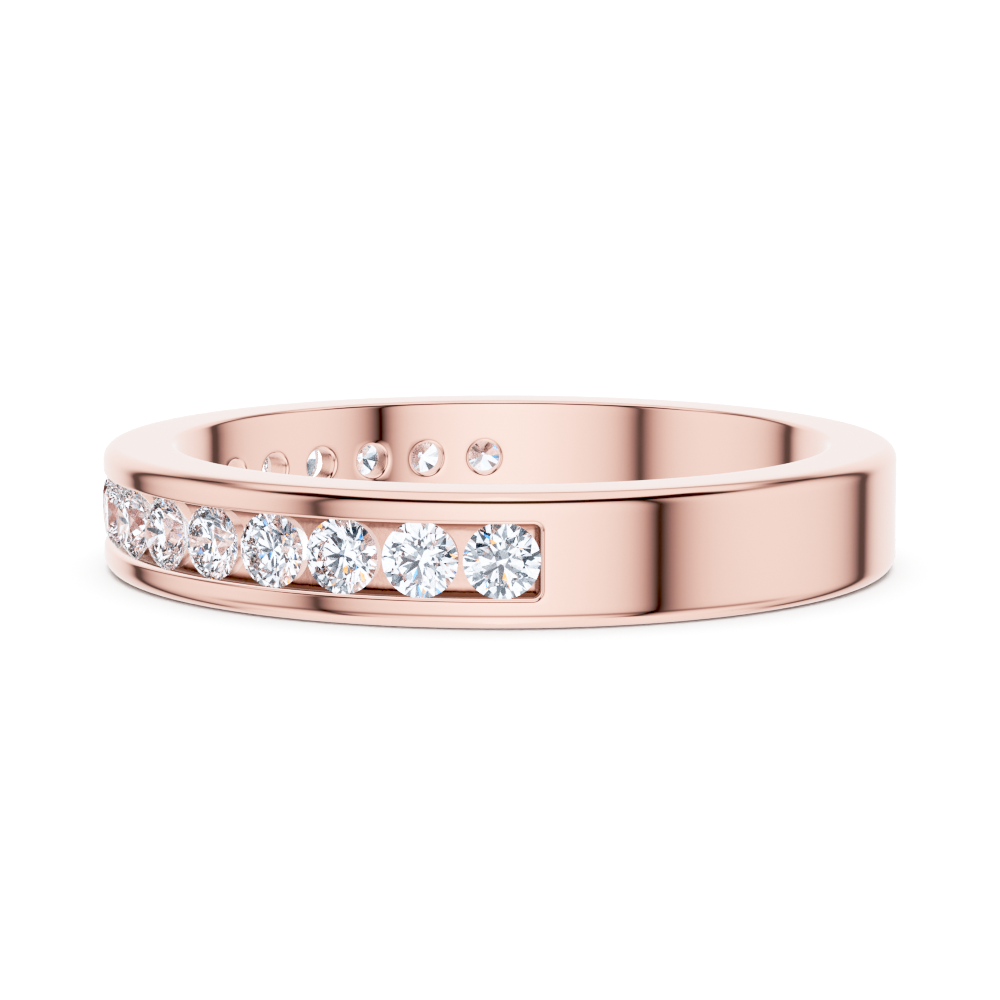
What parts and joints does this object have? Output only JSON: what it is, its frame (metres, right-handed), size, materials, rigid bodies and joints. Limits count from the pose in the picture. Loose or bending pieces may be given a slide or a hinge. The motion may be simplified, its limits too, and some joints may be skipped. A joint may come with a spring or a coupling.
{
  "type": "wedding band",
  "caption": "Rounded rose gold wedding band with a channel of round brilliant stones along one side, held by two rails over drilled seats.",
  "frame": {"origin": "centre of the finger bore at the band's mid width", "axes": "+Z along the finger bore, which is also how the band lies on a table; the row of stones is centred on -Y"},
  "size_m": [0.02, 0.0201, 0.0032],
  "materials": {
    "rose_gold": "polished",
    "diamond": "polished facets"
  },
  "bodies": {
    "root": {"band": "rose_gold", "diamond_01": "diamond", "diamond_02": "diamond", "diamond_03": "diamond", "diamond_04": "diamond", "diamond_05": "diamond", "diamond_06": "diamond", "diamond_07": "diamond", "diamond_08": "diamond", "diamond_09": "diamond", "diamond_10": "diamond", "diamond_11": "diamond", "diamond_12": "diamond", "diamond_13": "diamond", "diamond_14": "diamond", "diamond_15": "diamond", "diamond_16": "diamond", "diamond_17": "diamond"}
  },
  "joints": []
}
